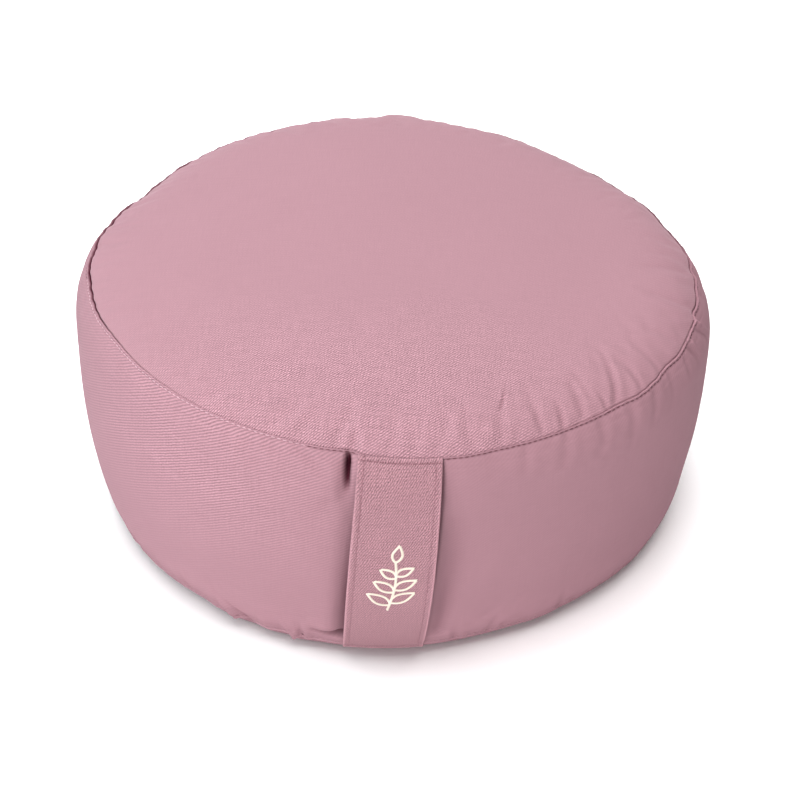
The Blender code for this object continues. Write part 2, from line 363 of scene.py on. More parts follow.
def creases(arc, angle):
    """How far gathers and the listed creases push the cloth in (below 0) or out."""
    lift = np.zeros(np.broadcast(arc, angle).shape)
    # small gathers all along the seams, stronger behind
    behind = around(GATHERED, angle)
    beat = ripple(angle, 53, 3.1, 5, 0.6) * (0.55 + 0.45 * ripple(angle, 13, 2, 3))
    lift += 0.38 * MM * behind * beat * bell(arc, 6 * MM)
    beat = ripple(angle, 39, 2.4, 4, 2.0) * (0.6 + 0.4 * np.sin(angle * 11 + 1))
    lift += 0.4 * MM * (0.15 + 0.85 * behind) * beat * bell(arc - BOTTOM_SEAM, 8 * MM)
    for (arc_0, deg_0), (arc_1, deg_1), depth, half, lips in CREASES:
        run_down, run_round = (arc_1 - arc_0) * MM, math.radians(deg_1 - deg_0) * CREASE_RADIUS
        length = float(np.hypot(run_down, run_round))
        beside = (angle - math.radians(deg_0) + math.pi) % TURN - math.pi
        p, q = arc - arc_0 * MM, beside * CREASE_RADIUS
        along = (p * run_down + q * run_round) / length
        across = (q * run_down - p * run_round) / length / (half * MM)
        # deepest at the seam end, fading at the other, and reaching a little past both
        share = clamp(along / length)
        near_seam = share if abs(arc_1) < abs(arc_0) or arc_1 > 100 else 1 - share
        beyond = np.maximum(-along, 0) + np.maximum(along - length, 0)
        fade = 0.25 + 0.75 * np.sin(clamp(near_seam * 1.15) * math.pi / 2)
        shape = -bell(across, 1) + lips * 0.5 * bell(np.abs(across) - 2.0, 1)
        lift += depth * MM * (fade * bell(beyond, 2.2 * MM)) * shape
    # the sewn edge is stiffer than the cloth beside it
    return lift * (1 - 0.7 * bell(arc, 2 * MM))


def fullness(arc, angle):
    """How far the filling lifts the top panel, and how far it pushes the band out."""
    share = clamp(-arc / (80 * MM))
    # the factor makes the swell 1 where it is highest
    swell = 9.48 * share * (1 - share) ** 3
    share = clamp((arc - 4 * MM) / (BOTTOM_SEAM - 8 * MM))
    pressed = np.sin(math.pi * share**0.8) ** 2
    foot = bell(arc - BOTTOM_SEAM + 10 * MM, 15 * MM)
    reach = -pressed * (around(BAND_PRESSED, angle) * MM) + foot * (around(FOOT_FILLED, angle) * MM)
    return swell * (around(TOP_SWELL, angle) * MM), reach


def place(arc, angle, lift=0.0, folds=True):
    """A point over the cloth: arc length down the section, angle round it, height over it."""
    arc, angle, lift = np.broadcast_arrays(*(np.asarray(value, float) for value in (arc, angle, lift)))
    radius, height, out, up = section_at(arc)
    near_top = bell(arc, 13 * MM)
    near_bottom = bell(arc - BOTTOM_SEAM, 9 * MM)
    if folds:
        lift = lift + creases(arc, angle)
    fuller, wider = fullness(arc, angle)
    radius = radius + out * lift
    radius = radius + near_top * (around(SEAM_WANDER, angle) * MM + fine_wander(angle))
    radius = radius + near_bottom * (around(BOTTOM_WANDER, angle) * MM) + wider
    height = height + up * lift + near_top * (around(SEAM_RISE, angle) * MM) + fuller
    point = settle(radius, height, angle)
    if GATHERS is not None and folds:
        point = point + sim_shift(arc, angle)
    return point


# ---------------------------------------------------------------- mesh helpers


def new_object(name, verts, faces, smooth=True):
    """A mesh object in the scene."""
    mesh = bpy.data.meshes.new(name)
    mesh.from_pydata(np.asarray(verts).reshape(-1, 3).tolist(), [], faces)
    mesh.update()
    if smooth:
        mesh.shade_smooth()
    made = bpy.data.objects.new(name, mesh)
    bpy.context.scene.collection.objects.link(made)
    return made


def ring_faces(rows, columns):
    """Quads of a grid of rows that closes on itself."""
    i, j = np.meshgrid(np.arange(rows - 1), np.arange(columns), indexing="ij")
    k = (j + 1) % columns
    corners = [i * columns + j, (i + 1) * columns + j, (i + 1) * columns + k, i * columns + k]
    return np.stack(corners, -1).reshape(-1, 4)


def end_faces(rows, columns):
    """The two faces that close such a grid's first and last row."""
    last = (rows - 1) * columns
    return [tuple(range(columns)), tuple(reversed(range(last, last + columns)))]


def set_uv(made, corner_uv):
    """Gives a mesh its cloth coordinates, in metres, one pair for each face corner."""
    layer = made.data.uv_layers.new(name="Cloth")
    layer.data.foreach_set("uv", np.asarray(corner_uv, "f").ravel())


def set_shade(made, values):
    """Paints shade into a mesh's colour: how much painted shade each point holds, 0 to 1; below 0 it is a
    painted highlight, paler than the cloth.
    """
    layer = made.data.attributes.new("Shade", "FLOAT", "POINT")
    layer.data.foreach_set("value", np.asarray(values, "f").ravel())


def dress(made, materials, slots=None):
    """Adds materials to a mesh, and gives each face the number of its own."""
    for material in materials:
        made.data.materials.append(material)
    if slots is not None:
        made.data.polygons.foreach_set("material_index", np.asarray(slots).astype("i"))


def joined_angles(corners):
    """Corner angles of each face without a jump inside it; the band's join lies behind."""
    corners = (corners + 1.5 * math.pi) % TURN - 1.5 * math.pi
    wide = corners.max(1, keepdims=True) - corners.min(1, keepdims=True) > math.pi
    return np.where(wide & (corners > 0), corners - TURN, corners)


def band_uv(arc, angle):
    """Cloth coordinates along and down the band."""
    return np.stack([angle * WIDEST_RADIUS + 1.5, -arc], -1)


def cloth_uv(arc, angle):
    """Cloth coordinates in metres: across the top and bottom discs, and along and down the band."""
    disc_top = np.stack([(arc - CENTRE) * np.cos(angle), (arc - CENTRE) * np.sin(angle)], -1)
    under = BOTTOM_SEAM_RADIUS - (arc - BOTTOM_SEAM)
    disc_under = np.stack([under * np.cos(angle) + 0.5, -under * np.sin(angle)], -1)
    on_top, below = (arc < 0)[..., None], (arc > BOTTOM_SEAM)[..., None]
    return np.where(on_top, disc_top, np.where(below, disc_under, band_uv(arc, angle)))


# ---------------------------------------------------------------- cloth simulation

# The simulated gathers: the arcs of their rows, and each point's shift outwards, sideways and up
GATHERS = None
SIM_COLUMNS = 300
SIM_FRAMES = 16
# The settings of Blender's cloth
CLOTH = {
    "quality": 6,
    "mass": 0.02,
    "tension_stiffness": 20,
    "compression_stiffness": 20,
    "shear_stiffness": 5,
    "bending_stiffness": 0.03,
    "use_pressure": True,
    "uniform_pressure_force": 5,
    "vertex_group_mass": "held",
    "vertex_group_shrink": "cut",
    "shrink_min": -0.035,
    "shrink_max": 0.0,
}


def inflate(cover):
    """Runs Blender's cloth on the cover, removes the cover and returns where its points came to."""
    modifier = cover.modifiers.new("Cloth", "CLOTH")
    for name, value in CLOTH.items():
        setattr(modifier.settings, name, value)
    modifier.settings.effector_weights.gravity = 0
    modifier.collision_settings.use_collision = False
    modifier.point_cache.frame_start = 1
    modifier.point_cache.frame_end = SIM_FRAMES
    for number in range(1, SIM_FRAMES + 1):
        bpy.context.scene.frame_set(number)
    relaxed = cover.evaluated_get(bpy.context.evaluated_depsgraph_get()).data.vertices
    found = np.empty(len(relaxed) * 3)
    relaxed.foreach_get("co", found)
    bpy.context.scene.frame_set(1)
    bpy.data.objects.remove(cover)
    return found


def simulate():
    """Sews, inflates and relaxes the cover: what Blender's cloth adds to the plain form.

    The seams are held where they lie, and the cloth beside them is cut a little too long, so that
    it gathers there. What is kept is the gathers, without the swelling of the whole cushion."""
    step = TURN * TOP_SEAM_RADIUS / SIM_COLUMNS
    # the middle of the top panel is one face
    inner = CENTRE * 0.62
    top = np.linspace(inner, 0, int(-inner / step) + 1)
    band = np.linspace(0, BOTTOM_SEAM, int(BOTTOM_SEAM / step) + 1)[1:]
    under = np.linspace(BOTTOM_SEAM, REST_EDGE, 5)[1:]
    rows = np.concatenate([top, band, under])
    angle = np.arange(SIM_COLUMNS) * TURN / SIM_COLUMNS
    base = place(rows[:, None], angle[None, :])
    faces = ring_faces(len(rows), SIM_COLUMNS).tolist() + end_faces(len(rows), SIM_COLUMNS)
    cover = new_object("cover_cloth", base, faces, smooth=False)
    held = np.zeros(base.shape[:2], bool)
    held[:4] = True
    held[len(top) - 1] = True
    held[len(top) + len(band) - 1 :] = True
    cover.vertex_groups.new(name="held").add(np.nonzero(held.ravel())[0].tolist(), 1.0, "REPLACE")
    near_top = bell(rows, 20 * MM) * np.where(rows > 0, 0.3, 1.0)
    near = near_top + 0.7 * bell(rows - BOTTOM_SEAM, 16 * MM)
    tight = 1 - clamp(near[:, None] * around(SLACK, angle)[None, :])
    cut, levels = cover.vertex_groups.new(name="cut"), 20
    for level in range(levels + 1):
        chosen = np.nonzero(np.round(tight.ravel() * levels) == level)[0].tolist()
        cut.add(chosen, level / levels, "REPLACE")
    moved = inflate(cover).reshape(base.shape) - base
    # without the slow waves that swell or shift the whole, and without the finest ones
    found = np.fft.rfft(turned(moved, -angle), axis=1)
    number = np.arange(found.shape[1])
    found *= (clamp((number - 5) / 6) * clamp((130 - number) / 30))[:, None]
    finer = 4
    columns = SIM_COLUMNS * finer
    kept = np.clip(np.fft.irfft(found, columns, axis=1) * finer, -4 * MM, 4 * MM)
    fade = clamp((rows - rows[0]) / (30 * MM))[:, None]
    # the band lies flat behind the strap
    degrees = np.degrees(np.arange(columns) * TURN / columns) - 360
    behind = bell(degrees + 90, 8.5, 4)[None, :] * clamp(rows / (4 * MM))[:, None]
    return rows, kept * (fade * (1 - 0.85 * behind))[..., None]


def sim_shift(arc, angle):
    """The simulated gathers at points of the cushion, read smoothly from row to row."""
    rows, shifts = GATHERS
    columns = shifts.shape[1]
    row = np.interp(arc, rows, np.arange(len(rows)))
    i = np.clip(np.floor(row).astype(int), 0, len(rows) - 2)
    t = (row - i)[..., None]
    column = (angle / TURN * columns) % columns
    j = np.floor(column).astype(int) % columns
    u = (column - np.floor(column))[..., None]

    def at(line):
        line = np.clip(line, 0, len(rows) - 1)
        return shifts[line, j] * (1 - u) + shifts[line, (j + 1) % columns] * u

    before, low, high, after = at(i - 1), at(i), at(i + 1), at(i + 2)
    bend = 2 * before - 5 * low + 4 * high - after + t * (3 * (low - high) + after - before)
    smooth = low + 0.5 * t * (high - before + t * bend)
    inside = (arc > rows[0]) & (arc < rows[-1])
    return np.where(inside[..., None], turned(smooth, angle), 0)


GATHERS = simulate()


# ---------------------------------------------------------------- materials

ROSE = (0.279, 0.152, 0.178)
# the strap's cloth: the same rose, darkened a little as painted shade
SHADED_STRAP_ROSE = (0.255, 0.136, 0.157)
# the dark, red rose that painted shade mixes the cloth toward
PAINTED_SHADE_ROSE = (0.0625, 0.0114, 0.0219)
# a dark rose put deep in the open top seam as painted shadow
SEAM_SHADOW_ROSE = (0.0883, 0.0146, 0.0292)


class Nodes:
    """Builds a material's node tree with short calls."""

    def __init__(self, name):
        self.material = bpy.data.materials.new(name)
        self.material.use_nodes = True
        self.tree = self.material.node_tree
        self.shader = self.tree.nodes["Principled BSDF"]

    def node(self, kind, **settings):
        made = self.tree.nodes.new(kind)
        for name, value in settings.items():
            setattr(made, name, value)
        return made

    def put(self, socket, value):
        if isinstance(value, bpy.types.NodeSocket):
            self.tree.links.new(value, socket)
        else:
            socket.default_value = value

    def set(self, **values):
        """Sets the shader's own inputs, named with _ for a space."""
        for name, value in values.items():
            self.put(self.shader.inputs[name.replace("_", " ")], value)

    def math(self, operation, *values):
        made = self.node("ShaderNodeMath", operation=operation)
        for socket, value in zip(made.inputs, values):
            self.put(socket, value)
        return made.outputs[0]

    def add(self, a, b):
        return self.math("ADD", a, b)

    def times(self, a, b):
        return self.math("MULTIPLY", a, b)

    def line(self, value, slope, start):
        """value * slope + start"""
        return self.math("MULTIPLY_ADD", value, slope, start)

    def off(self, value, middle):
        return self.math("SUBTRACT", value, middle)

    def wave(self, value):
        """0 to 1 and back for each whole number that the value passes."""
        return self.line(self.math("SINE", self.times(value, TURN)), 0.5, 0.5)

    def noise(self, vector, scale, detail=2.0, roughness=0.5):
        made = self.node("ShaderNodeTexNoise")
        self.put(made.inputs["Vector"], vector)
        made.inputs["Scale"].default_value = scale
        made.inputs["Detail"].default_value = detail
        made.inputs["Roughness"].default_value = roughness
        return made.outputs["Fac"]

    def ramp(self, value, low, high):
        """0 at low and before it, 1 at high and beyond it."""
        made = self.node("ShaderNodeMapRange", clamp=True)
        self.put(made.inputs["Value"], value)
        made.inputs["From Min"].default_value = low
        made.inputs["From Max"].default_value = high
        return made.outputs["Result"]

    def mix(self, factor, a, b):
        made = self.node("ShaderNodeMix", data_type="RGBA")
        for index, value in ((0, factor), (6, a), (7, b)):
            self.put(made.inputs[index], value)
        return made.outputs[2]

    def scaled(self, colour, factor):
        made = self.node("ShaderNodeVectorMath", operation="SCALE")
        self.put(made.inputs[0], colour)
        self.put(made.inputs["Scale"], factor)
        return made.outputs[0]

    def split(self, vector):
        made = self.node("ShaderNodeSeparateXYZ")
        self.put(made.inputs[0], vector)
        return made.outputs

    def streaks(self, u, v, along, across):
        """Noise drawn out along one direction of the cloth."""
        made = self.node("ShaderNodeCombineXYZ")
        self.put(made.inputs[0], self.times(u, along))
        self.put(made.inputs[1], self.times(v, across))
        return self.noise(made.outputs[0], 1.0, 2.0)

    def bump(self, height, strength, distance):
        made = self.node("ShaderNodeBump")
        made.inputs["Strength"].default_value = strength
        made.inputs["Distance"].default_value = distance
        self.put(made.inputs["Height"], height)
        self.set(Normal=made.outputs[0])


def woven(n, uv, u, v, wale_angle, pitch, floats, waver):
    """The weave's height, 0 to 1: slanting wales, each a row of short floats."""
    cosine, sine = math.cos(math.radians(wale_angle)), math.sin(math.radians(wale_angle))
    wobble = n.times(n.off(n.noise(uv, 300.0, 3.0), 0.5), waver)
    across = n.add(n.times(u, -sine / pitch), n.times(v, cosine / pitch))
    across = n.add(across, wobble)
    # a float is two wales long, and each wale's floats start a step further on
    along = n.add(n.times(u, cosine / (2.0 * pitch)), n.times(v, sine / (2.0 * pitch)))
    along = n.add(along, n.times(n.math("FLOOR", across), 0.382))
    return n.times(n.wave(across), n.line(n.wave(along), floats, 1.0 - 0.9 * floats))


def weave_depth(n, coordinates, zone, back):
    """How boldly the weave stands out, by the place on the cushion.

    zone says where it has faded: the y behind, the x at the right, the z below and the x at the
    left. back is how far it returns at the very back."""
    x, y, z = n.split(coordinates)
    rear, right, low, left = zone
    front = n.ramp(y, rear, rear - 0.06)
    shown = n.times(n.times(front, n.ramp(x, right, right - 0.09)), n.ramp(z, low, 0.1))
    shown = n.times(shown, n.ramp(x, left, left + 0.06))
    shown = n.math("MAXIMUM", shown, n.times(n.ramp(y, 0.05, 0.12), back))
    patches = n.line(n.noise(coordinates, 45.0, 2.0), 1.2, 0.4)
    return n.line(n.times(shown, patches), 0.9, 0.1)


def twill(
    name,
    colour,
    wale_angle,
    pitch=1.15 * MM,
    contrast=1.0,
    floats=0.5,
    fuzzy=1.1,
    waver=1.1,
    zone=(-0.045, 0.13, 0.02, -0.3),
    back=0.0,
    sheen=0.06,
    gloss=0.1,
):
    """Matte cotton twill: slanting wales of short floats, slubs, soft mottling and fuzz.

    The wales lie pitch apart at wale_angle degrees to the band's length. contrast is how boldly
    the whole weave shows, floats how clearly its short floats part, fuzzy how fibrous it is and
    waver how much the wales wander. weave_depth() says what zone and back are."""
    n = Nodes(name)
    uv = n.node("ShaderNodeUVMap", uv_map="Cloth").outputs[0]
    u, v = n.split(uv)[:2]
    weave = woven(n, uv, u, v, wale_angle, pitch, floats, waver)
    # yarns of uneven thickness: streaks along the weft and along the warp
    slub = n.times(n.add(n.streaks(u, v, 60.0, 1500.0), n.streaks(u, v, 1500.0, 60.0)), 0.5)
    fuzz = n.noise(uv, 1500.0, 3.0, 0.7)
    coordinates = n.node("ShaderNodeTexCoord").outputs["Object"]
    cloud = n.noise(coordinates, 14.0, 3.0)
    # painted light and shade: the wales are made paler, the gaps between them darker
    depth = n.times(weave_depth(n, coordinates, zone, back), contrast)
    shade = n.line(n.off(weave, 0.34), depth, 1.0)
    shade = n.line(n.off(slub, 0.5), n.line(depth, 0.9, 0.1), shade)
    shade = n.line(n.off(fuzz, 0.5), n.times(depth, fuzzy), shade)
    shade = n.add(shade, n.times(n.off(cloud, 0.5), 0.05))
    # painted shade from the mesh's Shade attribute: in folds and seams the colour is mixed toward a darker,
    # redder rose; below 0 it is a painted highlight, paler
    held = n.node("ShaderNodeAttribute", attribute_name="Shade").outputs["Fac"]
    shade = n.line(n.math("MINIMUM", held, 0.0), -1.0, shade)
    tone = n.mix(held, (*colour, 1.0), (*PAINTED_SHADE_ROSE, 1.0))
    n.set(Base_Color=n.scaled(tone, shade), Roughness=n.line(weave, -0.12, 0.97), Specular_IOR_Level=gloss)
    n.set(Sheen_Weight=sheen, Sheen_Roughness=0.35, Sheen_Tint=(1.0, 0.92, 0.94, 1.0))
    height = n.add(n.add(weave, n.times(slub, 0.8)), n.times(fuzz, 0.5))
    n.bump(n.times(height, n.add(depth, 0.3)), 0.45, 0.15 * MM)
    return n.material


def thread_material(name, colour, sheen=0.05):
    """Twisted sewing or embroidery thread."""
    n = Nodes(name)
    coordinates = n.node("ShaderNodeTexCoord").outputs["Object"]
    fibres = n.noise(coordinates, 3200.0, 3.0, 0.6)
    patches = n.noise(coordinates, 700.0, 2.0)
    shade = n.line(n.off(fibres, 0.5), 0.30, 1.0)
    shade = n.add(shade, n.times(n.off(patches, 0.5), 0.14))
    n.set(Base_Color=n.scaled(colour, shade), Roughness=0.62, Specular_IOR_Level=0.35)
    n.set(Sheen_Weight=sheen, Sheen_Roughness=0.4)
    n.bump(fibres, 0.5, 0.06 * MM)
    return n.material


TOP_TWILL = twill(
    "rose_twill_top", ROSE, 40, contrast=0.85, fuzzy=2.0, zone=(-0.045, 0.13, 0.02, -0.14), sheen=0.12
)
BAND_TWILL = twill(
    "rose_twill_band",
    ROSE,
    29,
    pitch=1.42 * MM,
    contrast=0.62,
    floats=0.2,
    fuzzy=0.8,
    waver=0.5,
    zone=(-0.02, 0.01, 0.05, -0.17),
    back=0.4,
    sheen=0.0,
    gloss=0.04,
)
UNDER_TWILL = twill("rose_twill_under", ROSE, 40)
STRAP_TWILL = twill(
    "rose_twill_strap",
    SHADED_STRAP_ROSE,
    60,
    pitch=1.05 * MM,
    contrast=0.8,
    floats=0.4,
    fuzzy=3.0,
    waver=1.6,
    zone=(0.0, 0.2, 0.0, -0.3),
    sheen=0.03,
)
SEAM_SHADOW_CLOTH = twill("rose_twill_painted_seam_shadow", SEAM_SHADOW_ROSE, 32, sheen=0.0, gloss=0.0)
# the top seam's dark rose thread, darkened further as painted shade of the valley it lies in
SHADED_SEAM_THREAD = thread_material("rose_thread", (0.104, 0.0271, 0.0417))
STRAP_THREAD = thread_material("rose_thread_strap", (0.179, 0.0733, 0.0942))
BOTTOM_THREAD = thread_material("rose_thread_bottom", (0.30, 0.16, 0.19))
# a paler copy of the seam thread, a painted highlight
HIGHLIGHT_THREAD = thread_material("rose_thread_painted_highlight", (0.45, 0.27, 0.31), 0.1)
CREAM_THREAD = thread_material("cream_thread", (0.65, 0.583, 0.5), 0.2)


# ---------------------------------------------------------------- the cover

# Spans of the cover's rows in millimetres of arc: start, end and step
FOOT_MM, REST_MM, CROWN_MM = BOTTOM_SEAM / MM, REST_EDGE / MM, CENTRE / MM
COVER_ROWS = (
    (CROWN_MM + 5, CROWN_MM + 45, 8), (CROWN_MM + 45, -60, 4.4), (-60, -36, 2.6), (-36, -18, 1.2),
    (-18, -7, 1.5), (-7, -2.1, 0.9), (-2.1, 0, 0.3), (0, 1, 0.5), (1, 8, 1.4), (8, 32, 1.7),
    (32, FOOT_MM - 26, 3.2), (FOOT_MM - 26, FOOT_MM - 9, 2.1), (FOOT_MM - 9, FOOT_MM - 5, 0.7),
    (FOOT_MM - 5, FOOT_MM - 1, 1.2), (FOOT_MM - 1, FOOT_MM + 2, 0.5), (FOOT_MM + 2, REST_MM, 2.0),
    (REST_MM, REST_MM + 130, 22),
)
# Where the cover's columns lie closer together: how much, then middle, width and power in degrees
CLOSE_COLUMNS = ((1.8, -98, 3.5, 2), (0.5, -45, 32, 4), (1.5, -66.2, 2.2, 2), (1.8, -82.6, 1.8, 2))
# The sewn edges in section: (arc from the seam in mm, height over the cloth in mm)
TOP_EDGE = (
    (-0.34, -3.2), (-0.27, -1.6), (-0.14, -0.5), (0.05, 0.12), (0.28, 0.42), (0.6, 0.52), (0.95, 0.42),
    (1.25, 0.14), (1.55, -0.14), (1.9, -0.24), (2.3, -0.12), (2.9, 0.05), (3.8, 0.10), (5.0, 0.04),
    (6.6, -0.14),
)
BOTTOM_EDGE = (
    (-6.4, -0.12), (-5.2, 0.0), (-4.0, 0.06), (-3.2, 0.04), (-2.6, -0.04), (-2.2, -0.12), (-1.8, -0.08),
    (-1.4, 0.06), (-1.0, 0.22), (-0.6, 0.26), (-0.25, 0.12), (0.0, -0.3), (0.2, -1.2),
)


def cover_angles(columns):
    """The angles of the cover's columns, closer together where the folds are."""
    degrees = np.linspace(-180, 180, 2881)
    weight = sum((size * bell(degrees - at, width, power) for size, at, width, power in CLOSE_COLUMNS), 1)
    share = np.concatenate([[0], np.cumsum((weight[1:] + weight[:-1]) / 2)])
    return np.interp(np.arange(columns) / columns * share[-1], share, np.radians(degrees))


def cover_lift(arc, angle):
    """The cover's shoulders: it turns down into both seams, under the sewn edge."""
    gap = around(SEAM_GAP, angle)
    below = arc - BOTTOM_SEAM
    inner = -1.7 * MM * gap * bell(np.minimum(arc, 0), (0.45 + 0.22 * gap) * MM) * (arc <= 0)
    outer, upper = (-0.75 * MM * ease(clamp(1 - (off - 3.8 * MM) / (3.2 * MM))) for off in (arc, -below))
    lower = -1.5 * MM * bell(below, 0.9 * MM) * (below > 0)
    return np.where(arc < BOTTOM_SEAM / 2, inner + outer * (arc > 0), lower + upper * (below <= 0))


def painted_fold_shade(arc, angle):
    """The painted shade in the cover's creases, and the deeper painted shade in the deepest ones."""
    pushed = -creases(arc, angle)
    return clamp(pushed / (1.5 * MM)) * 0.12 + np.clip((pushed - 1.8 * MM) / (4 * MM), 0, 0.9)


def cover_shade(arc, angle):
    """The painted shade of the cover's points, with painted light low down at the front."""
    below = arc - BOTTOM_SEAM
    # painted shade in the open top seam
    gap = 0.45 * np.clip(around(SEAM_GAP, angle), 0, 1.2) * bell(arc, 0.8 * MM)
    # painted shade along the top seam's rim
    rim = 0.9 * around(PAINTED_RIM_SHADE, angle) * bell(arc, 0.9 * MM)
    # painted shade under the bottom seam, where the cloth meets the floor
    under = 0.2 * clamp((below - 0.2 * MM) / (1.2 * MM)) * clamp((REST_EDGE + 14 * MM - arc) / (12 * MM))
    # painted light: low down at the front the cloth is made paler, standing in for the floor's light
    painted_floor_light = 0.07 * clamp(np.cos(angle + 1.45) * 2) * bell(below + 11 * MM, 13 * MM)
    return np.maximum(painted_fold_shade(arc, angle) + gap + under, rim) - painted_floor_light


def make_cover(columns=660):
    """The whole cushion: top panel, side band and bottom panel as one closed form."""
    rows = spaced(*COVER_ROWS)
    arc, angle = np.meshgrid(rows, cover_angles(columns), indexing="ij")
    points = place(arc, angle, cover_lift(arc, angle))
    points[..., 2] = np.maximum(points[..., 2], 0.0)
    points[rows >= REST_EDGE, :, 2] = 0.0
    verts = np.concatenate([points.reshape(-1, 3), [place(CENTRE, 0.0)], [points[-1].mean(0)]])
    quads = ring_faces(len(rows), columns)
    j, last = np.arange(columns), (len(rows) - 1) * columns
    k = (j + 1) % columns
    crown_fan = np.stack([np.full(columns, len(verts) - 2), j, k], 1)
    floor_fan = np.stack([np.full(columns, len(verts) - 1), last + k, last + j], 1)
    made = new_object("cushion_cover", verts, quads.tolist() + crown_fan.tolist() + floor_fan.tolist())
    # a face belongs to the panel that its middle lies on, and its corners stay just inside that
    corner_arc = arc.ravel()[quads]
    corner_angle = joined_angles(angle.ravel()[quads])
    middle = corner_arc.mean(1)
    panel = np.digitize(middle, (0, BOTTOM_SEAM))
    hair = 1e-7
    first = np.array([-np.inf, hair, BOTTOM_SEAM + hair])[panel]
    final = np.array([-hair, BOTTOM_SEAM - hair, np.inf])[panel]
    uv = [cloth_uv(np.clip(corner_arc, first[:, None], final[:, None]), corner_angle).reshape(-1, 2)]
    all_arcs, all_angles = np.append(arc, [CENTRE, REST_EDGE]), np.append(angle, [0, 0])
    for fan, centre in ((crown_fan, (0.0, 0.0)), (floor_fan, (0.5, 0.0))):
        fan_uv = cloth_uv(all_arcs[fan], all_angles[fan])
        fan_uv[:, 0] = centre
        uv.append(fan_uv.reshape(-1, 2))
    set_uv(made, np.concatenate(uv))
    set_shade(made, np.append(cover_shade(arc, angle), [0, 0]))
    # painted shadow: deep in the open seam the faces get the dark seam-shadow cloth
    gap = around(SEAM_GAP, corner_angle.mean(1))
    deep = (middle > -(0.25 + 0.25 * gap) * MM) & (middle < 0) & (gap > 0.45)
    slots = np.concatenate([np.where(deep, 3, panel), np.full(columns, 0), np.full(columns, 2)])
    dress(made, (TOP_TWILL, BAND_TWILL, UNDER_TWILL, SEAM_SHADOW_CLOTH), slots)
    return made


def stitch_count(seam):
    """How many stitches go round a seam."""
    radius = TOP_SEAM_RADIUS if seam == 0 else BOTTOM_SEAM_RADIUS
    return round(TURN * radius / STITCH_PITCH)


def make_edge(name, table, seam, columns=1300):
    """The strip along a seam: turned edge, stitched valley and the cloth that puckers beside it."""
    table_arc, table_rise = np.array(table).T * MM
    arc, angle = np.meshgrid(table_arc, np.arange(columns) * TURN / columns, indexing="ij")
    rise = np.repeat(table_rise[:, None], columns, 1)
    at_top = seam == 0
    if at_top:
        # the stitches run closer to the seam at the front
        near = around(STITCH_LINE, angle) * MM / VALLEY
        share = ease(clamp(arc / table_arc[-1]))
        lay_arc = np.where(arc > 0, arc * (near + (1 - near) * share), arc)
        mark, bold = around(STITCH_MARK, angle), around(EDGE_BOLD, angle)
    else:
        lay_arc, mark, bold = arc, 0.35, 0.8 + 0.2 * np.sin(5 * angle)
    beat = np.cos(angle * stitch_count(seam))
    uneven = 0.5 * ripple(angle, 61, 2, 7) + 0.5 * np.sin(angle * 97 + 1.3)
    valley = bell(np.abs(arc) - VALLEY, 0.5 * MM)
    lift = np.where(rise > 0, rise * bold, rise)
    lift = lift + clamp(rise / (0.5 * MM)) * (0.06 * beat + 0.10 * uneven) * MM
    lift = lift - valley * (0.16 - 0.14 * beat) * mark * MM
    points = place(lay_arc + seam, angle, lift)
    points[..., 2] = np.maximum(points[..., 2], 0.0)
    quads = ring_faces(len(table), columns)
    made = new_object(name, points, quads.tolist())
    corner_arc = arc.ravel()[quads]
    corner_angle = joined_angles(angle.ravel()[quads])
    set_uv(made, band_uv(corner_arc + seam, corner_angle))
    # painted shade in the creases and in the stitched valley
    shade = painted_fold_shade(lay_arc + seam, angle) + valley * (0.32 - 0.2 * beat) * mark
    if at_top:
        # painted shade on the edge's inner side, seen behind the top panel, and painted shade along its rim
        # at the right and behind
        inner = clamp((0.35 * MM - arc) / (0.35 * MM)) * clamp(around(SEAM_GAP, angle) - 0.4)
        shade = np.maximum(shade, 0.75 * inner)
        shade = np.maximum(shade, around(PAINTED_RIM_SHADE, angle) * bell(arc - 0.5 * MM, 0.8 * MM))
        # painted shadow: the edge's deepest faces in the open seam get the dark seam-shadow cloth
        deep = (rise.ravel()[quads].mean(1) < -0.3 * MM) & (corner_arc.mean(1) < 0)
        deep &= around(SEAM_GAP, corner_angle.mean(1)) > 0.45
        dress(made, (BAND_TWILL, SEAM_SHADOW_CLOTH), deep)
    else:
        # painted highlight along the bottom seam's hem
        shade = shade - 0.2 * around(PAINTED_HEM_HIGHLIGHT, angle) * bell(arc + 0.8 * MM, 0.6 * MM)
        dress(made, (BAND_TWILL,))
    set_shade(made, shade)
    return made


# A stitch in rings from end to end: how far along, its size and how high it lies, in radii
STITCH_RINGS = (
    (0.0, 0.15, -1.1), (0.12, 0.75, -0.35), (0.35, 1.0, 0.15), (0.65, 1.0, 0.15), (0.88, 0.75, -0.35),
    (1.0, 0.15, -1.1),
)


def capsule_chain(name, starts, ends, normals, radius, material, sides=6):
    """Many short rounded stitches as one mesh: each sinks into the cloth at both its ends."""
    run = ends - starts
    forward = run / np.linalg.norm(run, axis=1, keepdims=True)
    side = np.cross(normals, forward)
    side /= np.linalg.norm(side, axis=1, keepdims=True)
    over = np.cross(forward, side)
    turn = np.arange(sides)[:, None] * TURN / sides
    radius = np.broadcast_to(radius, len(starts))[:, None]
    rings = []
    for share, size, rise in STITCH_RINGS:
        middle = starts + run * share + over * radius * rise
        outward = side[:, None] * np.cos(turn) + over[:, None] * np.sin(turn)
        rings.append(middle[:, None] + outward * radius[:, None] * size)
    many = len(rings)
    base = np.arange(len(starts))[:, None] * many * sides
    quads = ring_faces(many, sides)[:, [0, 3, 2, 1]]
    faces = (quads[:, None] + base).reshape(-1, 4).tolist()
    first = np.arange(sides)
    faces += (base + first[::-1]).tolist() + (base + (many - 1) * sides + first).tolist()
    made = new_object(name, np.stack(rings, 1), faces)
    dress(made, (material,))
    return made


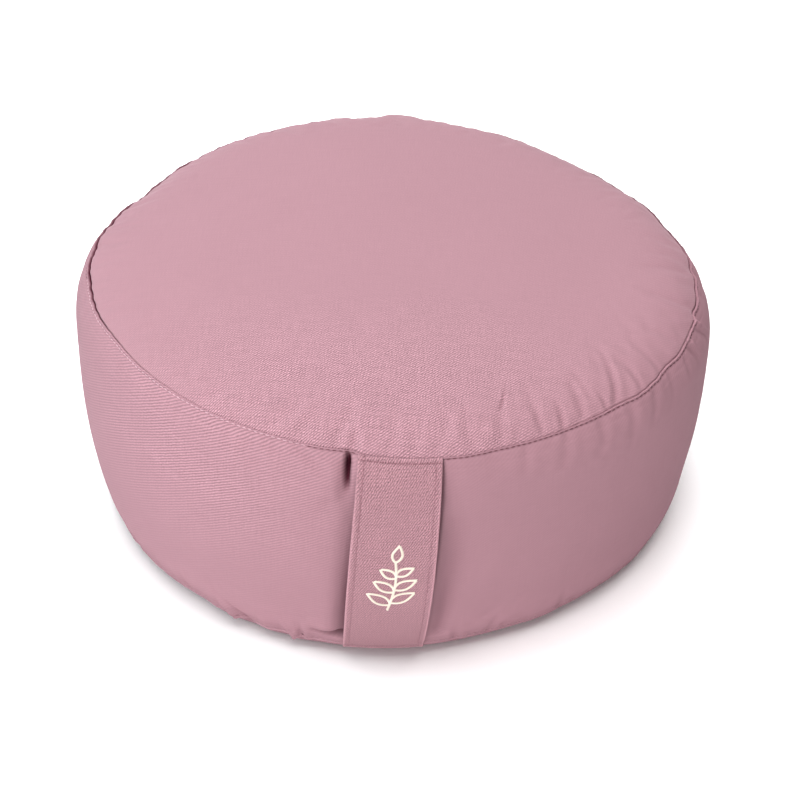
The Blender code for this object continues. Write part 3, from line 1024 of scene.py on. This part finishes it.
def make_seam_stitches(name, seam, material, skip):
    """A row of stitches beside a seam, without those in skip, two angles in degrees."""
    count = stitch_count(seam)
    step = TURN / count
    middle = (np.arange(count) + 0.5) * step
    degrees = (np.degrees(middle) + 180) % 360 - 180
    middle = middle[(degrees < skip[0]) | (degrees > skip[1])]
    half = step * HALF_STITCH
    if seam == 0:
        # the stitches at the left are slacker and stand out more
        slack = 1 - clamp((around(STITCH_MARK, middle) - 0.12) / 0.15)
        arc = [around(STITCH_LINE, middle + shift) * MM for shift in (-half, 0, half)]
    else:
        slack = np.zeros(len(middle))
        arc = [seam - VALLEY] * 3
    lift, radius = (-0.2 + 0.1 * slack) * MM, (0.22 + 0.06 * slack) * MM
    starts, ends = place(arc[0], middle - half, lift), place(arc[2], middle + half, lift)
    normals = place(arc[1], middle, lift + 1 * MM) - place(arc[1], middle, lift)
    made = capsule_chain(name, starts, ends, normals, radius, material)
    if seam == 0:
        # painted highlight: at the left, where the thread catches the light, the stitches get a paler
        # thread
        pale = around(STITCH_MARK, middle) < 0.3
        dress(made, (HIGHLIGHT_THREAD,), np.tile(pale, len(made.data.polygons) // len(middle)))
    return made


# ---------------------------------------------------------------- the strap

# How high the strap's middle layer lies over the cloth: (mm from its top or its lower end, mm)
TOP_RISE = (
    (0, -0.2), (0.5, 0.75), (1.1, 1.25), (1.7, 1.1), (2.3, 0.75), (3.0, 0.95), (4.5, 1.25), (8, 1.45),
    (20, 1.5),
)
END_RISE = ((0, 0.3), (0.6, 0.9), (2.0, 1.1), (3.0, 0.85), (4.0, 1.1), (6, 1.3), (12, 1.5))


def strap_rise(down):
    """How high the strap's middle layer lies over the cloth near its sewn ends."""
    ends = ((TOP_RISE, down), (END_RISE, STRAP_LENGTH - down))
    top, end = (np.interp(off / MM, *np.array(table).T) for table, off in ends)
    return np.minimum(top, end) * MM


def strap_thick(down):
    """The strap's thickness: it is pressed thin in the seams."""
    near = np.minimum(down, STRAP_LENGTH - down)
    return (1.1 + 0.9 * clamp(near / (7 * MM))) * MM


def strap_path(down, across):
    """A point of the strap's middle layer, from the distance down it and across it."""
    arc = STRAP_START + down
    radius, height, _, _ = section_at(arc)
    share = clamp(height / TOP_SEAM_HEIGHT)
    slant = (height - BOTTOM_SEAM_HEIGHT) / (TOP_SEAM_HEIGHT - BOTTOM_SEAM_HEIGHT)
    middle_x = STRAP_BOTTOM_X + (STRAP_TOP_X - STRAP_BOTTOM_X) * slant
    x = middle_x - TOP_SHIFT[0] * share - MIDDLE_SHIFT[0] * 4 * share * (1 - share)
    reach = radius + waves(OUTLINE_LOBES, -math.pi / 2)
    free = clamp((down - 4 * MM) / (STRAP_LENGTH - 7 * MM))
    bow = np.sin(math.pi * free) ** 1.15
    lift = strap_rise(down) + STRAP_BOW * bow
    centre = place(arc, np.arcsin(x / reach) - math.pi / 2, lift, folds=False)
    beside = place(arc, np.arcsin((x + across) / reach) - math.pi / 2, lift, folds=False)
    # a taut strap is flatter across than the band behind it
    flat = 0.6 * bow
    beside[..., 1] += (centre[..., 1] - beside[..., 1]) * flat
    beside[..., 2] += (centre[..., 2] - beside[..., 2]) * flat * 0.5
    return beside


def strap_normal(down, across):
    """The strap's outward direction."""
    step = 1.2 * MM
    first = strap_path(down + step, across) - strap_path(down - step, across)
    second = strap_path(down, across + step) - strap_path(down, across - step)
    out = np.cross(first, second)
    return out / np.linalg.norm(out, axis=-1, keepdims=True)


def strap_surface(down, across, lift):
    """A point over the strap's outer face, from the distance down it and across it."""
    half = strap_thick(down) / 2 + strap_relief(down, across)
    return strap_path(down, across) + strap_normal(down, across) * (half + lift)[..., None]


def stitch_holes(down):
    """1 at the holes between the strap's edge stitches, 0 at their middles."""
    return 0.5 - 0.5 * np.cos((down - FIRST_STITCH) * TURN / STITCH_PITCH)


def drawn_in(across):
    """The stitches down the strap's left edge are drawn in more than those at its right."""
    return np.where(across < 0, 1, 0.4)


def strap_relief(down, across):
    """Folded edges a little thicker, stitched valleys beside them, and soft unevenness."""
    edge = np.abs(across)
    fold = 0.16 * MM * bell(edge - STRAP_WIDTH / 2 + 1 * MM, 1.1 * MM)
    deep = (0.08 + 0.24 * stitch_holes(down)) * MM
    valley = -deep * bell(edge - EDGE_STITCH, 0.5 * MM) * drawn_in(across)
    lower = -0.3 * MM * bell(STRAP_LENGTH - down - END_STITCH, 0.6 * MM)
    soft = 0.10 * MM * np.sin(down * 140 + 1.0 + across * 60) + 0.07 * MM * np.sin(across * 260 + down * 55)
    return fold + valley + lower + soft * clamp(np.minimum(down, STRAP_LENGTH - down) / (10 * MM))


def strap_shade(down, across, rise):
    """The strap's painted shade and painted highlights: shade in its stitched lines and on sides that face
    away, highlights on its folded edges.
    """
    half = STRAP_WIDTH / 2
    # painted shade in the stitched lines and at the stitch holes
    sewn = bell(np.abs(across) - EDGE_STITCH, 0.45 * MM) * drawn_in(across)
    sewn *= 0.2 + 1.8 * stitch_holes(down) ** 2 * np.clip(1.3 - down / (80 * MM), 0.3, 1)
    sewn = np.maximum(sewn, bell(down - TOP_STITCH, 0.4 * MM))
    sewn = np.maximum(sewn, bell(STRAP_LENGTH - END_STITCH - down, 0.5 * MM))
    # painted shade: its right edge lies in its own shade, and its inner face a little
    hidden = np.where(rise < -0.3 * MM, 0.3, 0.0)
    hidden = np.where((rise < 0.3 * MM) & (across > half - 1 * MM), 0.85, hidden)
    # painted highlight: the folded edges are pale, most so low down
    pale = clamp((np.abs(across) - (half - 1.3 * MM)) / (0.6 * MM)) * clamp(0.3 + down / (60 * MM))
    pale *= np.where(across > 0, 1.6, 1.3)
    pale = np.maximum(pale, clamp((down - (STRAP_LENGTH - 1.6 * MM)) / (0.8 * MM)))
    return np.where(hidden > 0, hidden, np.where(rise > 0, 0.22 * sewn - 0.3 * pale, 0))


def make_strap():
    """The carry strap as one closed, flat tube of cloth with rounded folds."""
    half, wide, end = STRAP_WIDTH / 2, STRAP_WIDTH / 2 / MM, STRAP_LENGTH / MM
    down = spaced((0, 8, 0.4), (8, end - 8, 0.846), (end - 8, end, 0.421))[:, None]
    inner, outer = wide - 5, wide - 0.5
    front = spaced((-outer, -inner, 0.375), (-inner, inner, 1.36), (inner, outer, 0.41))
    back = np.linspace(half - 0.8 * MM, -half + 0.8 * MM, 14)
    # round each fold, in degrees from the outer face
    turns = np.array([30, 70, 110, 150])
    fold_across = half - STRAP_FOLD + STRAP_FOLD * np.sin(np.radians(turns))
    fold_cloth = STRAP_FOLD * turns / 60
    thick = strap_thick(down) / 2
    fold_rise = (thick + 0.1 * MM) * np.cos(np.radians(turns))
    across = np.concatenate([front, fold_across, back, -fold_across[::-1]])
    rise = [thick + strap_relief(down, front), fold_rise, -thick + 0 * back, fold_rise[:, ::-1]]
    rise = np.concatenate(rise, 1)
    # the cloth is laid out flat: outer face, fold, inner face, fold
    laid = [front, half + fold_cloth, 2 * half + 4 * MM - back, 3 * half + 6 * MM - fold_cloth[::-1]]
    uv = np.stack(np.broadcast_arrays(np.concatenate(laid), -down), -1)
    down, across = np.broadcast_arrays(down, across)
    points = strap_path(down, across) + strap_normal(down, across) * rise[..., None]
    points[..., 2] = np.maximum(points[..., 2], 0.3 * MM)
    quads = ring_faces(*across.shape)
    made = new_object("carry_strap_cloth", points, quads.tolist() + end_faces(*across.shape))
    # where the tube closes, the outer face's corner goes on past the last fold
    corner = uv.reshape(-1, 2)[quads]
    closing = np.ptp(corner[..., 0], 1)[:, None] > STRAP_WIDTH
    corner[..., 0] += np.where(closing & (corner[..., 0] < 0), 2 * STRAP_WIDTH + 8 * MM, 0)
    set_uv(made, np.concatenate([corner.reshape(-1, 2), uv[0], uv[-1][::-1]]))
    set_shade(made, strap_shade(down, across, rise))
    dress(made, (STRAP_TWILL,))
    return made


def strap_thread(name, rows, lift, radius, material):
    """Stitches on the strap, each from one (down, across) to another."""
    down_0, across_0, down_1, across_1 = np.array(rows).T
    starts = strap_surface(down_0, across_0, lift)
    ends = strap_surface(down_1, across_1, lift)
    normals = strap_normal((down_0 + down_1) / 2, (across_0 + across_1) / 2)
    return capsule_chain(name, starts, ends, normals, radius, material)


def make_strap_stitches():
    """Stitches down both folded edges and across both sewn ends."""
    half = STITCH_PITCH * HALF_STITCH
    rows = []
    for across in (-EDGE_STITCH, EDGE_STITCH):
        for middle in np.arange(FIRST_STITCH, STRAP_LENGTH - 4 * MM, STITCH_PITCH):
            rows.append((middle - half, across, middle + half, across))
    for down, reach in ((TOP_STITCH, STRAP_WIDTH / 2 - 1 * MM), (STRAP_LENGTH - END_STITCH, EDGE_STITCH)):
        for middle in np.arange(-reach + STITCH_PITCH / 2, reach, STITCH_PITCH):
            rows.append((down, middle - half, down, middle + half))
    return strap_thread("strap_stitches", rows, 0.04 * MM, 0.22 * MM, STRAP_THREAD)


# ---------------------------------------------------------------- the thread motif

# In strap millimetres: each pair of leaves by its share of the stem's height, reach and width
STEM_HEIGHT = 32
LEAF_PAIRS = ((0.16, 12.6, 5.6), (0.44, 11.4, 5.2), (0.72, 8.8, 4.4))
MOTIF_PITCH = 0.55
MOTIF_WIDTH = 1.7
MOTIF_MIDDLE = 20.5


def leaf(root, run, width):
    """A pointed leaf's outline as two curved sides from its root, in strap millimetres."""
    side = np.array([-run[1], run[0]]) / np.linalg.norm(run)
    t = np.linspace(0, 1, 24)[:, None]
    swell = np.sin(math.pi * t**0.8) * width / 2
    return [root + run * t + side * swell, root + run * t - side * swell]


def sprig_strokes():
    """A plain sprig: a bowed stem, paired leaves and one leaf at its tip, in strap millimetres.

    The first number is across the strap, the second up from the sprig's foot."""
    t = np.linspace(0, 1, 40)[:, None]
    stem = np.concatenate([2.6 * np.sin(t * 2.4) - 1.2, STEM_HEIGHT * t], 1)
    strokes = [stem]
    for height, reach, width in LEAF_PAIRS:
        foot = stem[int(height * (len(stem) - 1))]
        for way, rise in ((1, 0.62), (-1, 0.55)):
            root = foot + np.array([0, 0.8 * way])
            tip = foot + np.array([reach * 0.86 * way, reach * rise])
            strokes += leaf(root, tip - root, width)
    return strokes + leaf(stem[-1], np.array([1.2, 9.5]), 4.6)


def make_motif(middle_down=64 * MM, middle_across=0.7 * MM):
    """The sprig worked in short slanting stitches of cream thread."""
    rows = []
    for stroke in sprig_strokes():
        length = np.append(0, np.cumsum(np.linalg.norm(np.diff(stroke, axis=0), axis=1)))
        at = np.arange(MOTIF_PITCH / 2, length[-1], MOTIF_PITCH)
        lines = [[np.interp(at + step, length, line) for line in stroke.T] for step in (-0.3, 0, 0.3)]
        before, middle, after = (np.stack(line, 1) for line in lines)
        dx, dy = (after - before).T
        # each stitch crosses the line at a slant
        slant = np.stack([dx * 0.55 - dy * 0.84, dy * 0.55 + dx * 0.84], 1)
        half = slant / (np.hypot(dx, dy) + 1e-9)[:, None] * MOTIF_WIDTH / 2
        for (start_x, start_y), (end_x, end_y) in zip(middle - half, middle + half):
            rows.append([MOTIF_MIDDLE - start_y, start_x, MOTIF_MIDDLE - end_y, end_x])
    rows = np.array(rows) * MM + np.array([middle_down, middle_across] * 2)
    return strap_thread("strap_motif", rows, 0.12 * MM, 0.3 * MM, CREAM_THREAD)


# ---------------------------------------------------------------- build the object

cover = make_cover()
top_edge = make_edge("top_seam_edge", TOP_EDGE, 0.0)
bottom_edge = make_edge("bottom_seam_edge", BOTTOM_EDGE, BOTTOM_SEAM)
top_stitches = make_seam_stitches("top_seam_stitches", 0.0, SHADED_SEAM_THREAD, TOP_BEHIND_STRAP)
bottom_stitches = make_seam_stitches(
    "bottom_seam_stitches", BOTTOM_SEAM, BOTTOM_THREAD, BOTTOM_BEHIND_STRAP
)
strap = make_strap()
strap_stitches = make_strap_stitches()
motif = make_motif()

cushion_pieces = (cover, top_edge, bottom_edge, top_stitches, bottom_stitches)
strap_pieces = (strap, strap_stitches, motif)
for piece in cushion_pieces + strap_pieces:
    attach(piece, "root")
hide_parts("cushion")
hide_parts("carry_strap")


# ---------------------------------------------------------------- floor, light and camera

FLOOR_REACH = 8.0
COOL, WARM, BLUE = (0.91, 1.0, 1.0), (1.0, 0.97, 0.97), (0.77, 1.0, 1.0)
LIGHTS_AIM = Vector((0, 0, 0.05))
CAMERA_AIM = Vector((0.00575, 0, 0.0467))
CAMERA_RISE = math.radians(37.525)
CAMERA_DISTANCE = 1.485
PICTURE_PIXELS = 800
FOCAL_PIXELS = 2768.8
SENSOR_WIDTH = 36


def make_floor():
    """A plain white floor."""
    n = Nodes("studio_white")
    n.set(Base_Color=(0.97, 0.97, 0.97, 1), Roughness=0.9, Specular_IOR_Level=0.0)
    corners = [(x * FLOOR_REACH, y * FLOOR_REACH, 0) for x, y in ((-1, -1), (1, -1), (1, 1), (-1, 1))]
    made = new_object("floor", corners, [(0, 1, 2, 3)], smooth=False)
    dress(made, (n.material,))


def aim(made, position, target):
    """Puts a light or camera in its place, facing a target."""
    made.location = position
    made.rotation_euler = (target - made.location).to_track_quat("-Z", "Y").to_euler()
    bpy.context.scene.collection.objects.link(made)


def light_from(name, turn, rise, size, power, colour=(1, 1, 1), away=2.2):
    """A soft rectangular light, turn degrees round the object from its front and rise degrees up."""
    data = bpy.data.lights.new(name, "AREA")
    data.shape = "RECTANGLE"
    data.size, data.size_y = size
    data.energy = power
    data.color = colour
    turn, rise = math.radians(turn), math.radians(rise)
    way = Vector((math.sin(turn) * math.cos(rise), -math.cos(turn) * math.cos(rise), math.sin(rise)))
    aim(bpy.data.objects.new(name, data), way * away + LIGHTS_AIM, LIGHTS_AIM)


make_floor()
light_from("overhead", 0, 89, (2.4, 2.4), 81, WARM)
light_from("high_front", 0, 60, (1.6, 1.6), 12, WARM)
light_from("front_strip", -20, 7, (4.5, 0.82), 154, away=4.0)
light_from("left", -90, 25, (1.6, 1.6), 24, BLUE)
light_from("behind_left", -150, 45, (1.6, 1.6), 11.8, COOL)
light_from("behind", 180, 45, (1.6, 1.6), 28.5, COOL)

scene = bpy.context.scene
scene.world = bpy.data.worlds.new("studio")
scene.world.use_nodes = True
background = scene.world.node_tree.nodes["Background"]
background.inputs["Color"].default_value = (1.0, 0.99, 0.985, 1)
background.inputs["Strength"].default_value = 0.01

scene.view_settings.view_transform = "Standard"
scene.view_settings.look = "None"
scene.view_settings.exposure = 0
scene.view_settings.gamma = 1

camera_data = bpy.data.cameras.new("camera")
camera_data.sensor_width = SENSOR_WIDTH
camera_data.lens = SENSOR_WIDTH * FOCAL_PIXELS / PICTURE_PIXELS
camera_data.clip_start = 0.05
camera = bpy.data.objects.new("camera", camera_data)
camera_way = Vector((0, -math.cos(CAMERA_RISE), math.sin(CAMERA_RISE)))
aim(camera, CAMERA_AIM + CAMERA_DISTANCE * camera_way, CAMERA_AIM)
scene.camera = camera
